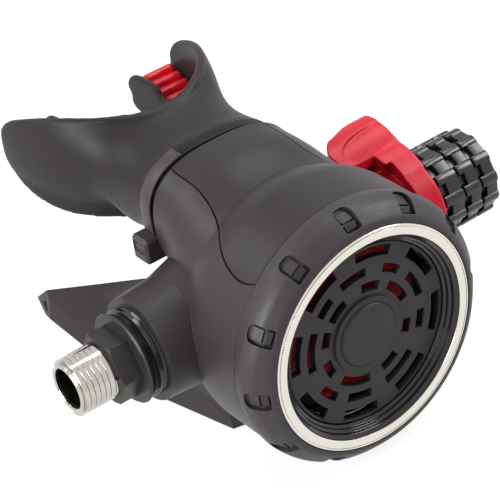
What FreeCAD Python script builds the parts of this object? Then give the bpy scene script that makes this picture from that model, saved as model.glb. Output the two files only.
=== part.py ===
import FreeCAD, Part
import math
import os

# Second stage of a scuba regulator, in millimetres.
# The valve axis is X, with the hose inlet at -X and the adjusting knob at +X.
# The cover axis is Y: the purge cover faces -Y and the mouthpiece +Y. +Z is up.
# Sizes are given from the crossing of the two axes. The finished parts are moved
# along X so that the frame's origin is the centre of the inlet's mouth.

V = FreeCAD.Vector
X_AXIS = V(1, 0, 0)
Y_AXIS = V(0, 1, 0)
Z_AXIS = V(0, 0, 1)

# Clearances and joints between pieces
running_gap = 0.06
slide_gap = 0.10
soft_gap = 0.05
panel_gap = 0.35
play = 0.3

# Housing
drum_r = 33.8
drum_front_y = -28.3
drum_back_y = -15.0
back_round = 28.6
back_power = 1.7
wall = 2.4
neck_r = 31.6
neck_bore_r = 28.9
neck_front_y = -33.0
cavity_front_y = -26.0
tube_end_y = 16.4
tube_rim = (21.4, 15.3, 17.8, 2.6)
neck_oval = (21.2, 14.5, 18.3, 2.6)
tube_stations = ((-20.0, 29.5, 24.0, 5.8, 2.15), (-8.0, 27.6, 22.6, 7.6, 2.25), (0.0, 25.4, 21.4, 9.8, 2.35),
                 (6.0, 23.8, 19.8, 12.7, 2.45), (12.0, 22.2, 17.3, 15.6, 2.55))
spigot_length = 12.6
spigot_inset = 3.1
spigot_wall = 2.0

# Side bosses
boss_left_x = -40.8
boss_left_profile = ((-40.8, 13.4), (-30.0, 14.2), (-22.0, 16.3), (-14.0, 20.0))
boss_right_x = 34.2
boss_right_start_x = 16.0
boss_right_r = 12.9
stop_lug_angles = (134.0, 141.0)
stop_lug_length = 3.4

# Cover panel on top of the housing: half widths along its seam
panel_thickness = 1.4
seam_low_z = 12.0
seam_rear_half = 13.8
seam_stations = ((9.7, 14.1), (5.6, 14.2), (0.8, 14.9), (-6.0, 17.4),
                 (-14.0, 22.6), (-19.6, 24.5), (-23.4, 24.9), (-28.3, 24.0))

# Hose inlet
inlet_x = -61.7
lip_r = 6.2
lip_length = 0.8
thread_r = 7.14
thread_pitch = 1.411
thread_depth = 0.87
crest_width = 0.45
inlet_bore_r = 5.19
inlet_bore_depth = 8.5
feed_bore_r = 3.4
shank_r = 5.0
shank_end_x = -34.0
nut_front_x = -51.6
nut_hex_x = -46.0
nut_across_flats = 16.0
collar_r = 11.7
collar_back_r = 10.7
collar_back_x = -44.2
seal_r = 11.0
seal_ridge_r = 11.5

# Valve barrel and what slides in it
barrel_r = 8.2
barrel_bore_r = 6.3
barrel_left_x = -40.6
barrel_right_x = 48.6
flange_x = -31.0
flange_width = 2.0
outlet_x = (-6.0, 8.0)
outlet_angles = (20.0, 75.0)
lever_slot_x = (12.0, 17.0)
orifice_edge_x = -24.0
orifice_r = 3.0
orifice_bore_r = 1.7
orifice_body_length = 5.4
orifice_taper = 1.6
crown_height = 0.6
crown_width = 0.5
groove_r = 5.0
groove_width = 1.8
groove_offset = 1.6
seat_r = 4.0
stem_r = 2.4
poppet_flange_x = 15.4
poppet_flange_width = 1.8
poppet_flange_r = 5.9
poppet_head_r = 5.0
poppet_head_length = 5.4
poppet_taper = 2.0
poppet_spigot_r = 3.4
poppet_spigot_length = 3.8
seat_depth = 1.3
spring_wire_r = 0.45
spring_mean_r = 5.0
spring_turns = 6
screw_x = 31.8
screw_length = 5.2
screw_rim = 1.4
screw_floor = 0.8
key_across_flats = 4.0
key_reach = 2.6
key_stem_r = 2.6
key_collar_r = 4.4
key_collar_width = 1.6
key_end_x = 56.0
packing_groove_r = 4.2
packing_groove_offset = 2.4
packing_x = 41.2
packing_length = 6.4

# Demand lever
lever_pivot = (13.5, -8.6)
lever_foot_y = -3.6
lever_thickness = 1.2
lever_width = 8.0
lever_tip_width = 5.0
foot_slot_half = 2.2
knuckle_r = 1.1

# Air-flow lever
sleeve_r = 9.4
sleeve_end_x = 50.0
vane_start_x = -8.0
vane_end_x = 22.0
vane_angles = (-60.0, 15.0)
hub_r = 13.8
hub_front_x = 45.2
hub_back_x = 34.6
hub_back_r = 12.2
notch_x = 38.4
notch_angles = (88.0, 142.0)
paddle_side = ((3.2, 15.9), (4.5, 16.8), (6.6, 18.0), (8.8, 18.8), (11.8, 19.2), (15.0, 19.0), (16.6, 18.4),
               (17.4, 17.2), (16.6, 16.0))
paddle_under = ((12.6, 13.4), (8.6, 10.6), (3.0, 13.4))
paddle_nose = ((16.2, 45.2), (16.9, 42.3), (16.4, 39.2), (15.3, 36.0), (13.8, 32.5), (12.9, 30.2), (11.4, 28.4),
               (9.2, 27.0), (7.2, 26.5), (5.2, 26.9), (3.7, 28.4), (2.8, 31.0), (2.0, 36.0))
paddle_nose_x = 26.0
pocket_plan = ((11.9, 47.0), (11.1, 39.0), (9.6, 33.0), (8.1, 30.8), (6.4, 29.8), (4.9, 30.4), (3.8, 32.2),
               (3.6, 35.5), (4.2, 41.0), (4.9, 47.0))
pocket_floor_drop = 0.25
pocket_slope = 1.5
pocket_length = 17.0
neck_start_x = 36.5
neck_side = ((3.4, 15.95), (1.0, 15.7), (-1.0, 15.1), (-3.4, 13.9), (-5.6, 12.5))

# Adjusting knob
knob_end_x = 64.5
knob_rib_r = 11.75
knob_valley_r = 11.0
knob_groove_r = 9.7
knob_ribs = 12
knob_rib_radius = 1.6
knob_rows = ((46.6, 48.7, 52.8), (53.3, 55.0, 58.4), (58.9, 60.4, 64.5))
knob_first_angle = 105.0
knob_socket_x = 50.8

# Front cover
bezel_profile = ((-31.0, 34.2), (-33.0, 34.0), (-35.0, 33.3), (-36.5, 32.0), (-38.0, 30.3), (-38.3, 29.05))
bezel_back_y = -28.4
bezel_seat_y = -36.4
bezel_clamp_y = -34.5
clamp_bore_r = 28.6
window_count = 12
window_first_angle = 2.9
window_start = (34.3, -31.9)
window_heading = (-4.7, -6.1)
window_size = (6.6, 4.6)
window_corner_r = (1.7, 0.6)
window_floor = ((0.0, -0.9), (2.0, -0.9), (3.6, -0.2), (4.4, -0.2), (6.6, -0.9))
window_moat = 0.7
window_blocks = (((1.0, -1.0), (1.0, -0.1), (3.7, 0.6), (3.7, -1.0)),
                 ((4.4, -1.0), (4.4, 0.45), (5.9, -0.1), (5.9, -1.0)))
trim_r = (26.1, 29.0)
trim_front_y = -38.45
wall_slope = ((26.05, -38.1), (25.2, -37.3), (25.0, -36.6), (24.4, -36.2), (24.2, -35.6), (23.6, -35.2))
cover_r = 23.5
cover_flange_r = 24.0
cover_front_y = -35.0
cover_thickness = 1.8
pad_r = 8.2
pad_front_y = -36.1
outer_slots = (19.9, 22.6)
middle_slots = (15.5, 17.8)
inner_slots = (11.2, 13.6)
outer_slot_count = 8
outer_slot_span = 28.0
outer_slot_first = 78.0
middle_slot_spans = ((84, 110), (48, 66), (8, 35), (-23, -6), (-76, -44), (-117, -92), (-150, -130),
                     (152, 188), (122, 139))
inner_slot_spans = ((66, 90), (17, 52), (-27, -10), (-74, -52), (-134, -92), (-172, -151), (151, 170),
                    (114, 140))
purge_spring_mean_r = 23.0
purge_spring_wire_r = 0.35
purge_spring_turns = 2
ledge_y = -29.2
ledge_thickness = 1.0
ledge_bore_r = 21.8

# Diaphragm
membrane = 0.8
rim_r = (28.7, 31.2)
rim_front_y = -34.2
plate_r = 20.0
plate_front_y = -27.2
plate_thickness = 0.9
button_r = 5.0
button_thickness = 0.5

# Exhaust valve and its tee
port_r = 8.4
port_boss_r = 11.0
port_boss_height = 1.5
flap_r = 10.4
flap_thickness = 0.8
tee_wall = 1.8
tee_bottom_z = -36.0
tee_top_z = -2.2
tee_tip_x = 41.0
outlet_x_span = (22.5, 33.0)
outlet_y_span = (33.0, 50.0)
outlet_z_span = (-25.0, -14.0)

# Mouthpiece
sleeve_y = 18.4
strap_y = (18.6, 22.7)
strap_thickness = 0.9
mouth_wall = 1.9
shield_axes = (27.0, 35.0)
shield_centre_y = 73.3
shield_thickness = 2.2
rim_step = 0.3
shield_top = ((36.0, 33.3), (38.5, 33.7), (41.4, 34.4), (46.0, 34.7), (53.0, 34.3), (60.0, 32.9), (66.0, 30.9),
              (70.0, 29.2), (73.0, 26.8), (74.7, 23.6))
shield_bottom = ((74.9, 20.3), (74.2, 17.4), (70.9, 13.1), (65.7, 9.7), (59.3, 7.5), (52.5, 6.3), (46.8, 5.9),
                 (43.1, 5.6), (36.0, 5.3))
flare_stations = ((23.0, 20.4, 13.7, 18.4, 2.6), (30.0, 20.0, 13.0, 18.5, 2.5), (37.0, 20.2, 13.7, 19.0, 2.4),
                  (42.8, 21.2, 15.3, 21.0, 2.3), (46.3, 22.5, 18.4, 21.9, 2.3), (51.7, 24.9, 22.9, 22.4, 2.3),
                  (58.4, 27.0, 26.3, 22.1, 2.3), (66.7, 28.4, 27.7, 21.5, 2.3), (73.5, 28.5, 21.6, 20.7, 2.3))
throat_stations = ((28.6, 17.4, 10.9, 18.2, 2.6), (35.0, 16.0, 10.6, 17.6, 2.5), (40.5, 12.3, 9.6, 17.4, 2.4), (52.0, 12.0, 9.0, 17.4, 2.4))
lug_x = (12.6, 14.4)
lug_side = ((42.0, 20.0), (50.0, 20.3), (57.5, 21.0), (61.2, 21.9), (62.8, 23.5), (66.3, 24.1), (70.0, 24.1), (74.0, 23.1),
            (75.8, 21.2), (76.3, 19.2), (75.2, 17.5), (75.5, 15.8), (74.8, 13.9), (73.0, 12.9), (69.0, 12.6),
            (63.0, 12.2), (50.0, 12.8), (42.0, 13.2))
pad_tilt = 19.0
pad_centre = (67.3, 18.2)
pad_end_x = 25.4
pad_length = 14.0
pad_half_thickness = 1.6
pad_rib_count = 4
pad_rib_r = 1.45
pad_rib_rise = 1.75
pad_rib_pitch = 3.28
pad_rib_end_gap = 0.4
tie_head_size = (6.6, 6.4, 7.0)
tie_head_centre = (-21.2, 20.3, 10.8)
tie_head_chamfer = 0.7
catch_window = (2.3, -0.9, 2.2)
catch_depth = 0.7
catch_tongue = (1.9, 0.3, 1.5)

# Worked out from the sizes above
sleeve_bore_r = barrel_r + running_gap
boss_bore_r = sleeve_r + running_gap
drum_centre_r = drum_r - back_round
cover_back_y = cover_front_y + cover_thickness
plate_back_y = plate_front_y + plate_thickness
membrane_back_y = plate_back_y + membrane
button_back_y = membrane_back_y + button_thickness
guide_r = cover_flange_r + slide_gap
spigot_end_y = tube_end_y + spigot_length


def rod(r, x0, x1):
    """Solid cylinder on the valve axis."""
    return Part.makeCylinder(r, x1 - x0, V(x0, 0, 0), X_AXIS)


def pipe(r_out, r_in, x0, x1):
    return rod(r_out, x0, x1).cut(rod(r_in, x0 - 1, x1 + 1))


def disc(r, y0, y1):
    """Solid cylinder on the cover axis."""
    return Part.makeCylinder(r, y1 - y0, V(0, y0, 0), Y_AXIS)


def box(x0, x1, y0, y1, z0, z1):
    return Part.makeBox(x1 - x0, y1 - y0, z1 - z0, V(x0, y0, z0))


def turned(points, axis):
    """Revolves a closed outline of (place along the axis, radius)."""
    side = V(0, 1, 0) if axis == X_AXIS else V(1, 0, 0)
    corners = [axis * along + side * r for along, r in points]
    face = Part.Face(Part.makePolygon(corners + corners[:1]))
    return face.revolve(V(0, 0, 0), axis, 360)


def turned_x(points):
    return turned(points, X_AXIS)


def turned_y(points):
    return turned(points, Y_AXIS)


def outline_face(points, place):
    corners = [place(a, b) for a, b in points]
    return Part.Face(Part.makePolygon(corners + corners[:1]))


def prism_x(points, x0, x1):
    """Extrudes an outline of (y, z) along X."""
    return outline_face(points, lambda y, z: V(x0, y, z)).extrude(V(x1 - x0, 0, 0))


def prism_z(points, z0, z1):
    """Extrudes an outline of (x, y) along Z."""
    return outline_face(points, lambda x, y: V(x, y, z0)).extrude(V(0, 0, z1 - z0))


def mirrored(shape):
    return shape.mirror(V(0, 0, 0), X_AXIS)


def around_x(shape, angle):
    """Turns about the valve axis; positive takes +Y towards +Z."""
    turned_copy = shape.copy()
    turned_copy.rotate(V(0, 0, 0), X_AXIS, angle)
    return turned_copy


def around_y(shape, angle):
    """Turns about the cover axis; positive takes +X towards +Z."""
    turned_copy = shape.copy()
    turned_copy.rotate(V(0, 0, 0), Y_AXIS, -angle)
    return turned_copy


def fused(shapes):
    whole = shapes[0]
    for shape in shapes[1:]:
        whole = whole.fuse(shape)
    return whole.removeSplitter()


def sector_x(r, x0, x1, start, end):
    """Part of a rod between two angles, counted from +Y towards +Z."""
    piece = Part.makeCylinder(r, x1 - x0, V(0, 0, 0), Z_AXIS, end - start)
    piece.rotate(V(0, 0, 0), V(1, 1, 1), 120)
    piece.translate(V(x0, 0, 0))
    return around_x(piece, start)


def sector_y(r_in, r_out, y0, y1, start, end):
    """Part of a flat ring between two angles, counted from +X towards +Z."""
    ring = Part.makeCylinder(r_out, y1 - y0, V(0, 0, 0), Z_AXIS, end - start)
    ring = ring.cut(Part.makeCylinder(r_in, y1 - y0, V(0, 0, 0), Z_AXIS))
    ring.rotate(V(0, 0, 0), X_AXIS, 90)
    ring.translate(V(0, y1, 0))
    return around_y(ring, start)


def oval_wire(half_width, half_height, centre_z, power, y):
    """Closed superellipse in a plane across the cover axis."""
    count = 24
    points = []
    for step in range(count):
        angle = 2 * math.pi * step / count
        c, s = math.cos(angle), math.sin(angle)
        x = half_width * math.copysign(abs(c) ** (2 / power), c)
        z = half_height * math.copysign(abs(s) ** (2 / power), s)
        points.append(V(x, y, centre_z + z))
    curve = Part.BSplineCurve()
    curve.interpolate(Points=points, PeriodicFlag=True)
    return Part.Wire(curve.toShape())


def oval_loft(sections):
    return Part.makeLoft([oval_wire(*section) for section in sections], True, False)


def back_curve(inset):
    """Rounded back of the drum, from its rim to the flat behind it."""
    r = back_round - inset
    points = []
    for step in range(13):
        angle = math.pi / 2 * step / 12
        across = math.cos(angle) ** (2 / back_power) if step < 12 else 0
        along = math.sin(angle) ** (2 / back_power)
        points.append(V(drum_centre_r + r * across, drum_back_y + r * along, 0))
    curve = Part.BSplineCurve()
    curve.interpolate(Points=points, InitialTangent=V(0, 1, 0), FinalTangent=V(-1, 0, 0))
    return curve.toShape()


def body_shape(inset):
    """Drum with a rounded back, joined to the breathing tube, all drawn in by the inset."""
    back_y = drum_back_y + back_round - inset
    lines = Part.makePolygon([V(drum_centre_r, back_y, 0), V(0, back_y, 0), V(0, drum_front_y, 0),
                              V(drum_r - inset, drum_front_y, 0), V(drum_r - inset, drum_back_y, 0)])
    outline = Part.Wire(Part.__sortEdges__([back_curve(inset)] + lines.Edges))
    drum = Part.Face(outline).revolve(V(0, 0, 0), Y_AXIS, 360)
    stations = tube_stations + ((tube_end_y,) + tube_rim,)
    sections = [(a - inset, b - inset, z, power, y) for y, a, b, z, power in stations]
    return drum.fuse(oval_loft(sections))


def spigot(inset):
    """Oval neck that the mouthpiece slips over."""
    a, b, z, power = neck_oval
    draw_in = spigot_inset + inset
    ends = (tube_end_y - wall - inset, spigot_end_y + inset)
    return oval_loft([(a - draw_in, b - draw_in, z, power, y) for y in ends])


def on_port(shape):
    """Moves a shape made on +Z to the exhaust port, at the lower back of the drum."""
    reach = back_round * math.sqrt(0.5) ** (2 / back_power)
    placed = shape.copy()
    placed.rotate(V(0, 0, 0), X_AXIS, -135)
    placed.translate(V(0, drum_back_y + reach, -drum_centre_r - reach))
    return placed


def port_cylinder(r, low, high):
    return on_port(Part.makeCylinder(r, high - low, V(0, 0, low), Z_AXIS))


def seam_prism(grow):
    """Plan of the top panel, as a tall prism."""
    stations = ((tube_end_y, seam_rear_half),) + seam_stations
    right = [V(width + grow, y, seam_low_z) for y, width in stations]
    left = [V(-p.x, p.y, p.z) for p in reversed(right)]
    edges = []
    for side in (right, left):
        curve = Part.BSplineCurve()
        curve.interpolate(side)
        edges.append(curve.toShape())
    edges.append(Part.LineSegment(right[-1], left[0]).toShape())
    edges.append(Part.LineSegment(left[-1], right[0]).toShape())
    face = Part.Face(Part.Wire(Part.__sortEdges__(edges)))
    return face.extrude(V(0, 0, 40))


def cavity():
    """Space inside the housing, from the diaphragm's seat back to the wall behind the spigot."""
    space = body_shape(wall).cut(disc(drum_r + 5, drum_front_y - 1, cavity_front_y))
    space = space.cut(disc(drum_r + 5, tube_end_y - wall, tube_end_y + 1))
    return space


def port_spider():
    """Cross in the exhaust port, with the hub that holds the valve's stem."""
    reach = port_r + 0.5
    arms = [box(-reach, reach, -1, 1, -wall, port_boss_height - 0.6),
            box(-1, 1, -reach, reach, -wall, port_boss_height - 0.6)]
    hub = Part.makeCylinder(2.6, wall + port_boss_height - 0.6, V(0, 0, -wall), Z_AXIS)
    cross = fused([hub] + arms).cut(Part.makeCylinder(1.2 + soft_gap, 20, V(0, 0, -10), Z_AXIS))
    return on_port(cross)


def stop_lug():
    """Lug on the end of the right boss that stands in the air-flow lever's notch."""
    end = boss_right_x + stop_lug_length
    lug = sector_x(boss_right_r, boss_right_x - 1, end, *stop_lug_angles)
    return lug.cut(rod(boss_right_r - 1.5, boss_right_x - 2, end + 1))


def boss_left(grow):
    """Boss round the inlet end of the valve, with a flared root."""
    outline = [(x, r + grow) for x, r in boss_left_profile]
    return turned_x(outline + [(boss_left_profile[-1][0], 0), (boss_left_x, 0)])


def housing():
    space = cavity()
    boss_right = rod(boss_right_r, boss_right_start_x, boss_right_x)
    boss_port = port_cylinder(port_boss_r, -wall, port_boss_height)
    neck = disc(neck_r, neck_front_y, drum_front_y)
    shell = body_shape(0).cut(space)
    for piece in (boss_left(0), boss_right, boss_port, neck, spigot(0)):
        shell = shell.fuse(piece.cut(space))
    shell = shell.cut(disc(neck_bore_r, neck_front_y - 1, cavity_front_y)).cut(spigot(spigot_wall))
    shell = shell.cut(rod(barrel_r + running_gap, boss_left_x - 1, flange_x))
    shell = shell.cut(rod(boss_bore_r, flange_x, boss_right_x + 1))
    shell = shell.cut(port_cylinder(port_r, -wall - 8, port_boss_height + 1))
    recess = seam_prism(panel_gap).cut(body_shape(panel_thickness))
    return shell.cut(recess).fuse(stop_lug()).fuse(port_spider())


def top_panel():
    layer = body_shape(0).cut(body_shape(panel_thickness))
    return layer.common(seam_prism(0))


def threaded_profile(x0, x1):
    """Outline of an outside thread, crest by crest."""
    points = []
    turns = int((x1 - x0) / thread_pitch)
    flank = (thread_pitch - crest_width) / 2
    for turn in range(turns):
        x = x0 + turn * thread_pitch
        points += [(x, thread_r), (x + crest_width, thread_r)]
        points += [(x + crest_width + flank, thread_r - thread_depth)]
    return points + [(x0 + turns * thread_pitch, thread_r)]


def inlet_fitting():
    thread = threaded_profile(inlet_x + lip_length, nut_front_x)
    thread_end = thread[-1][0]
    outline = [(inlet_x, lip_r), (inlet_x + lip_length, lip_r)] + thread
    outline += [(nut_front_x, thread_r), (nut_front_x, shank_r), (shank_end_x, shank_r)]
    if nut_front_x - thread_end < 0.01:
        outline.remove((nut_front_x, thread_r))
    outline += [(shank_end_x, feed_bore_r), (inlet_x + inlet_bore_depth + 1.5, feed_bore_r)]
    outline += [(inlet_x + inlet_bore_depth, inlet_bore_r), (inlet_x, inlet_bore_r)]
    return turned_x(outline)


def hexagon(across, x0, x1):
    corner = across / math.sqrt(3)
    points = [(corner * math.cos(math.radians(60 * k)), corner * math.sin(math.radians(60 * k)))
              for k in range(6)]
    return prism_x(points, x0, x1)


def inlet_nut():
    corner = nut_across_flats / math.sqrt(3)
    blank = hexagon(nut_across_flats, nut_front_x, nut_hex_x + 0.1)
    chamfer = turned_x([(nut_front_x, 0), (nut_front_x, corner - 0.7), (nut_front_x + 0.5, corner + 0.1),
                        (nut_hex_x + 0.1, corner + 0.1), (nut_hex_x + 0.1, 0)])
    collar = turned_x([(nut_hex_x, 0), (nut_hex_x, collar_r - 0.5), (nut_hex_x + 0.5, collar_r),
                       (collar_back_x, collar_back_r), (collar_back_x, 0)])
    thread = rod(barrel_bore_r - running_gap, collar_back_x, shank_end_x - 2)
    return fused([blank.common(chamfer), collar, thread]).cut(rod(shank_r + running_gap, -60, -30))


def inlet_seal():
    middle = (collar_back_x + boss_left_x) / 2
    outline = [(collar_back_x, seal_r), (middle - 0.9, seal_r - 0.5), (middle - 0.5, seal_ridge_r),
               (middle + 0.5, seal_ridge_r), (middle + 0.9, seal_r - 0.5), (boss_left_x, seal_r),
               (boss_left_x, barrel_bore_r + 0.5), (collar_back_x, barrel_bore_r + 0.5)]
    return turned_x(outline)


def valve_barrel():
    tube = pipe(barrel_r, barrel_bore_r, barrel_left_x, barrel_right_x)
    flange = pipe(sleeve_r - running_gap, barrel_bore_r, flange_x, flange_x + flange_width)
    barrel = tube.fuse(flange)
    for side in (-1, 1):
        z0, z1 = sorted((side * foot_slot_half - side * 0.3, side * (lever_width / 2 + 0.3)))
        barrel = barrel.cut(box(lever_slot_x[0], lever_slot_x[1], -barrel_r - 2, 0, z0, z1))
    return barrel.cut(sector_x(barrel_r + 1, outlet_x[0], outlet_x[1], *outlet_angles))


def orifice():
    r = barrel_bore_r - running_gap
    ring_start = shank_end_x + groove_offset
    ring_end = ring_start + groove_width
    body_end = shank_end_x + orifice_body_length
    outline = [(shank_end_x, orifice_bore_r), (shank_end_x, r), (ring_start, r), (ring_start, groove_r),
               (ring_end, groove_r), (ring_end, r), (body_end, r), (body_end + orifice_taper, orifice_r),
               (orifice_edge_x - crown_height, orifice_r), (orifice_edge_x, orifice_bore_r + crown_width),
               (orifice_edge_x, orifice_bore_r)]
    return turned_x(outline)


def ring_x(mean_r, wire_r, x):
    return Part.makeTorus(mean_r, wire_r, V(x, 0, 0), X_AXIS)


def bore_ring(x):
    """O-ring that seals in the barrel's bore, in a groove of the piece that carries it."""
    wire = (barrel_bore_r - groove_r) / 2 - running_gap
    return ring_x(groove_r + running_gap + wire, wire, x)


def orifice_ring():
    return bore_ring(shank_end_x + groove_offset + groove_width / 2)


def poppet():
    cup_x = orifice_edge_x + play
    floor_x = cup_x + seat_depth
    head_x = floor_x + poppet_head_length
    flange_end_x = poppet_flange_x + poppet_flange_width
    spigot_x = flange_end_x + poppet_spigot_length
    outline = [(floor_x, 0), (floor_x, seat_r), (cup_x, seat_r), (cup_x, poppet_head_r), (head_x, poppet_head_r),
               (head_x + poppet_taper, stem_r), (poppet_flange_x, stem_r), (poppet_flange_x, poppet_flange_r),
               (flange_end_x, poppet_flange_r), (flange_end_x, poppet_spigot_r), (spigot_x, poppet_spigot_r),
               (spigot_x, 0)]
    return turned_x(outline)


def poppet_seat():
    return rod(seat_r, orifice_edge_x + play / 2, orifice_edge_x + play + seat_depth)


def coil(mean_r, wire_r, turns, start, length, axis):
    """Round-wire spring: one tube whose path is two tangent arcs for each quarter turn."""
    steps = 4 * turns
    climb = length / steps
    if axis == X_AXIS:
        place = lambda a, s: V(start + s, mean_r * math.cos(a), mean_r * math.sin(a))
        heading = lambda a: V(climb / (math.pi / 2), -mean_r * math.sin(a), mean_r * math.cos(a))
    else:
        place = lambda a, s: V(mean_r * math.cos(a), start + s, mean_r * math.sin(a))
        heading = lambda a: V(-mean_r * math.sin(a), climb / (math.pi / 2), mean_r * math.cos(a))
    edges = []
    for step in range(steps):
        a0 = step * math.pi / 2
        a1 = a0 + math.pi / 2
        edges += biarc(place(a0, step * climb), heading(a0), place(a1, (step + 1) * climb), heading(a1))
    path = Part.Wire(edges)
    section = Part.Wire(Part.Circle(place(0, 0), heading(0), wire_r).toShape())
    return path.makePipeShell([section], True, False)


def biarc(p0, t0, p1, t1):
    """Two tangent arcs from p0 to p1 that leave and arrive along the given headings."""
    t0 = V(t0).normalize()
    t1 = V(t1).normalize()
    v = p1 - p0
    t = t0 + t1
    k = 2 * (1 - t0.dot(t1))
    d = (math.sqrt(v.dot(t) ** 2 + k * v.dot(v)) - v.dot(t)) / k
    middle = (p0 + t0 * d + p1 - t1 * d) * 0.5
    return [tangent_arc(p0, t0, middle), tangent_arc(p1, t1 * -1, middle)]


def tangent_arc(a, t, b):
    c = b - a
    n = (c - t * c.dot(t)).normalize()
    r = c.dot(c) / (2 * c.dot(n))
    centre = a + n * r
    half = ((a - centre) + (b - centre)).normalize()
    return Part.Arc(a, centre + half * r, b).toShape()


def coil_gap(mean_r, wire_r, turns, length):
    """Least distance between neighbouring turns, measured on points along the coil's middle line."""
    points_a_turn = 60
    count = points_a_turn * turns
    path = [(mean_r * math.cos(2 * math.pi * k / points_a_turn), mean_r * math.sin(2 * math.pi * k / points_a_turn),
             length * k / count) for k in range(count + 1)]
    apart = [math.dist(path[i], path[j]) for i in range(count) for j in range(i + points_a_turn // 2, count + 1)]
    return min(apart) - 2 * wire_r


def poppet_spring():
    start = poppet_flange_x + poppet_flange_width + spring_wire_r + soft_gap
    end = screw_x - spring_wire_r - soft_gap
    print("poppet_spring least gap", round(coil_gap(spring_mean_r, spring_wire_r, spring_turns, end - start), 2))
    return coil(spring_mean_r, spring_wire_r, spring_turns, start, end - start, X_AXIS)


def adjusting_screw():
    r = barrel_bore_r - running_gap
    start = screw_x + screw_rim
    end = start + groove_width
    outline = [(screw_x, 0), (screw_x, r), (start, r), (start, groove_r), (end, groove_r), (end, r),
               (screw_x + screw_length, r), (screw_x + screw_length, 0)]
    socket = hexagon(key_across_flats + 2 * slide_gap, screw_x + screw_floor, screw_x + screw_length + 1)
    return turned_x(outline).cut(socket)


def screw_ring():
    return bore_ring(screw_x + screw_rim + groove_width / 2)


def drive_key():
    """Hexagon rod with a collar, fixed in the knob, that turns the screw and lets it slide."""
    collar_x = packing_x - key_collar_width
    blade = hexagon(key_across_flats, screw_x + key_reach, collar_x + 1)
    stem = rod(key_stem_r, collar_x, key_end_x)
    collar = rod(key_collar_r, collar_x, packing_x - slide_gap)
    return fused([blade, stem, collar])


def packing_nut():
    end = packing_x + packing_length
    start = packing_x + packing_groove_offset
    body = pipe(barrel_bore_r - running_gap, key_stem_r + running_gap, packing_x, end)
    return body.cut(pipe(packing_groove_r, key_stem_r, start, start + groove_width))


def packing_ring():
    low = key_stem_r + running_gap
    wire = (packing_groove_r - low) / 2 - running_gap
    return ring_x(low + running_gap + wire, wire, packing_x + packing_groove_offset + groove_width / 2)


def lever_side():
    """Side outline of the demand lever, from its foot in the barrel to its tip at the plate."""
    px, py = lever_pivot
    tip_y = button_back_y + play
    t = lever_thickness
    return [(px + t, lever_foot_y), (px, lever_foot_y), (px - 0.3, py - 0.4), (px - 3.2, -13.2), (5.2, -20.0),
            (2.0, tip_y + 1.6), (0.2, tip_y + 0.5), (0.2, tip_y), (2.4, tip_y), (3.4, tip_y + 1.0), (6.4, -20.9),
            (px - 2.2, -14.4), (px + t, py - 1.6)]


def demand_lever():
    half = lever_width / 2
    lever = prism_z(lever_side(), -half, half)
    plan = [(-2, -lever_tip_width / 2), (6, -lever_tip_width / 2), (10, -half), (20, -half),
            (20, half), (10, half), (6, lever_tip_width / 2), (-2, lever_tip_width / 2)]
    shadow = outline_face(plan, lambda x, z: V(x, -40, z)).extrude(V(0, 50, 0))
    fork = box(5, 25, lever_pivot[1] - knuckle_r, 5, -foot_slot_half, foot_slot_half)
    lever = lever.common(shadow).cut(fork)
    for side in (-1, 1):
        z0, z1 = sorted((side * foot_slot_half, side * half))
        centre = V(lever_pivot[0] + lever_thickness / 2, lever_pivot[1], z0)
        lever = lever.fuse(Part.makeCylinder(knuckle_r, z1 - z0, centre, Z_AXIS))
    return lever


def venturi_sleeve():
    """Tube around the barrel: a full ring under the knob and lever, a curved vane over the air outlet."""
    ring = pipe(sleeve_r, sleeve_bore_r, vane_end_x, sleeve_end_x - 1.4)
    vane = sector_x(sleeve_r, vane_start_x, vane_end_x + 1, *vane_angles)
    vane = vane.cut(rod(sleeve_bore_r, vane_start_x - 1, vane_end_x + 2))
    return ring.fuse(vane).removeSplitter()


def rounded_face(points, corners, place):
    """Flat face with a smooth curve through the points and straight lines through the corners after them."""
    curve = Part.BSplineCurve()
    curve.interpolate([place(a, b) for a, b in points])
    edges = [curve.toShape()]
    ends = [points[-1]] + list(corners) + [points[0]]
    for start, end in zip(ends, ends[1:]):
        edges.append(Part.LineSegment(place(*start), place(*end)).toShape())
    return Part.Face(Part.Wire(edges))


def paddle():
    """Thumb plate that stands off the hub, with a rounded nose towards the inlet and a scooped pocket."""
    in_plan = lambda y, x: V(x, y, 0)
    up = V(0, 0, 40)
    side = rounded_face(paddle_side, paddle_under, lambda y, z: V(paddle_nose_x, y, z))
    bar = side.extrude(V(hub_front_x - paddle_nose_x, 0, 0))
    plate = bar.common(rounded_face(paddle_nose, [(1.6, hub_front_x)], in_plan).extrude(up))
    floor = [(y, z - pocket_floor_drop) for y, z in paddle_side[:6]]
    above = [(floor[-1][0], 25.0), (floor[0][0] - 2.0, 25.0), (floor[0][0] - 2.0, floor[0][1] - 1.5)]
    scoop = rounded_face(floor, above, lambda y, z: V(hub_front_x + 0.1, y, z))
    scoop = scoop.extrude(V(-pocket_length, 0, -pocket_slope))
    pocket = scoop.common(rounded_face(pocket_plan, [], in_plan).extrude(up))
    return plate.cut(pocket)


def lever_neck():
    """Web that carries the paddle's front edge down on to the hub."""
    root = ((-5.0, 9.0), (neck_side[0][0], 9.0))
    face = rounded_face(neck_side, root, lambda y, z: V(neck_start_x, y, z))
    return face.extrude(V(hub_front_x - neck_start_x, 0, 0))


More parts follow.
